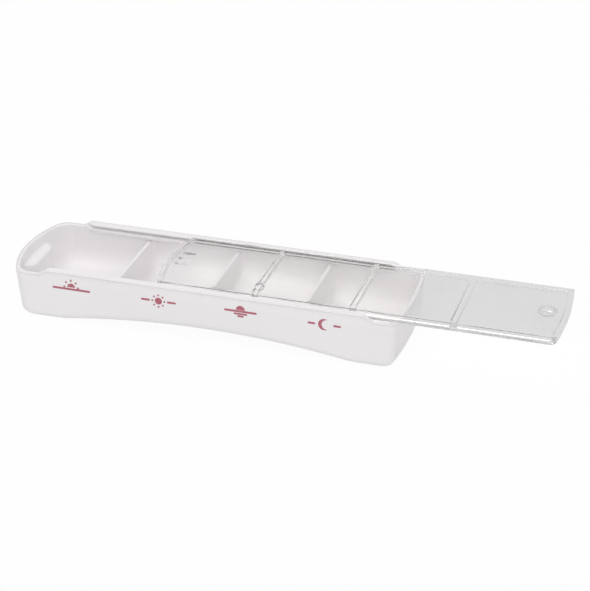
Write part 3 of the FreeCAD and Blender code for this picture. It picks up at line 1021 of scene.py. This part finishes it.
class PILL_OT_camera(bpy.types.Operator):
    """Sets the camera at the photograph's angle"""

    bl_idname = "pill.camera"
    bl_label = "Camera"

    def execute(self, context):
        stage = context.scene.stage_sizes
        data = bpy.data.cameras.new("camera")
        data.lens = stage.lens
        data.sensor_width = 36.0
        data.clip_start, data.clip_end = 0.01, 20.0
        camera = bpy.data.objects.new("camera", data)
        context.scene.collection.objects.link(camera)
        camera.location = CAMERA_PLACE
        camera.rotation_euler = (QUARTER - stage.tilt, 0.0, stage.turn)
        context.scene.camera = camera
        return {"FINISHED"}


class PILL_OT_tray(bpy.types.Operator):
    """Builds the white tray with its compartments and rails"""

    bl_idname = "pill.tray"
    bl_label = "Tray"

    def execute(self, context):
        points, faces = tray_mesh(tray_sizes(context.scene))
        material = white_plastic(context.scene)
        piece = new_piece("tray_moulding", points, faces, "tray", material, "tray")
        weigh_normals(piece)
        return {"FINISHED"}


class PILL_OT_lid(bpy.types.Operator):
    """Builds the clear lid with its frame, ribs, panels, gate well and grip grooves"""

    bl_idname = "pill.lid"
    bl_label = "Lid"

    def execute(self, context):
        points, faces = lid_mesh(context.scene)
        material = clear_plastic(context.scene)
        piece = new_piece("lid_moulding", points, faces, "lid", material, "lid")
        weigh_normals(piece)
        return {"FINISHED"}


class PILL_OT_signs(bpy.types.Operator):
    """Prints a plain time-of-day sign under each compartment"""

    bl_idname = "pill.signs"
    bl_label = "Signs"

    def execute(self, context):
        t = tray_sizes(context.scene)
        m = millimetres(context.scene.mark_sizes)
        material = rose_print(context.scene)
        front, back = -t.half - m.ink, -t.half + m.ink
        for name, x, z, wide in SIGNS:
            shapes = sign_shapes(name, x + t.shift, z, m, m.width * wide)
            points, faces = joined([(slab(a, b, front, back), True) for a, b in shapes])
            new_piece("sign_" + name, points, faces, "tray", material)
        return {"FINISHED"}


class PILL_OT_stage(bpy.types.Operator):
    """Lays the pale floor and sets the soft studio light"""

    bl_idname = "pill.stage"
    bl_label = "Stage"

    def execute(self, context):
        scene = context.scene
        stage = scene.stage_sizes
        reach, depth = 6.0, 0.00005
        corners = [(-reach, -reach), (reach, -reach), (reach, reach), (-reach, reach)]
        mesh = bpy.data.meshes.new("floor")
        mesh.from_pydata([(*corner, -depth) for corner in corners], [], [[0, 1, 2, 3]])
        floor = bpy.data.objects.new("floor", mesh)
        scene.collection.objects.link(floor)
        material, nodes, links, plain, output = fresh_material("pale_floor", "ShaderNodeBsdfDiffuse")
        mesh.materials.append(material)
        plain.inputs["Color"].default_value = (*stage.floor, 1.0)
        white = backdrop(nodes, links, "ShaderNodeEmission", stage.through)
        lifted = mixed(nodes, links, stage.blaze, plain.outputs[0], white)
        choice = mixed(nodes, links, seen_rays(nodes, links), plain.outputs[0], lifted)
        links.new(choice, output.inputs["Surface"])

        world = bpy.data.worlds.new("studio")
        scene.world = world
        world.use_nodes = True
        nodes, links = world.node_tree.nodes, world.node_tree.links
        nodes.clear()
        output = nodes.new("ShaderNodeOutputWorld")
        light = nodes.new("ShaderNodeBackground")
        light.inputs["Color"].default_value = (*stage.cool, 1.0)
        light.inputs["Strength"].default_value = stage.sky
        white = backdrop(nodes, links, "ShaderNodeBackground", stage.through)
        choice = mixed(nodes, links, seen_rays(nodes, links), light.outputs[0], white)
        links.new(choice, output.inputs["Surface"])
        area_light("top_light", stage.top, (1.0, 1.0), (-0.4, -0.3, 1.7))
        area_light("fill_light", stage.fill, (1.2, 0.9), (0.8, -1.2, 1.1))
        scene.view_settings.view_transform = "Standard"
        scene.cycles.max_bounces = 24
        scene.cycles.glossy_bounces = 16
        scene.cycles.transmission_bounces = 24
        return {"FINISHED"}


class PILL_PT_panel(bpy.types.Panel):
    """Lists the steps that build the organizer"""

    bl_idname = "PILL_PT_panel"
    bl_label = "Pill Organizer"
    bl_space_type = "VIEW_3D"
    bl_region_type = "UI"
    bl_category = "Pill Organizer"

    def draw(self, context):
        for step in STEPS:
            self.layout.operator(step.bl_idname)
        for group in GROUPS:
            holder = getattr(context.scene, group)
            box = self.layout.box()
            for key in holder.__annotations__:
                box.prop(holder, key)


STEPS = (PILL_OT_camera, PILL_OT_tray, PILL_OT_lid, PILL_OT_signs, PILL_OT_stage)
GROUPS = {
    "tray_sizes": TraySizes,
    "lid_sizes": LidSizes,
    "mark_sizes": MarkSizes,
    "finishes": Finishes,
    "stage_sizes": StageSizes,
}


def register():
    for item in (*GROUPS.values(), *STEPS, PILL_PT_panel):
        bpy.utils.register_class(item)
    for name, group in GROUPS.items():
        setattr(bpy.types.Scene, name, PointerProperty(type=group))


def unregister():
    for name in GROUPS:
        delattr(bpy.types.Scene, name)
    for item in (PILL_PT_panel, *reversed(STEPS), *reversed(GROUPS.values())):
        bpy.utils.unregister_class(item)


def main():
    register()
    for step in STEPS:
        group, name = step.bl_idname.split(".")
        getattr(getattr(bpy.ops, group), name)()


if __name__ == "__main__":
    main()
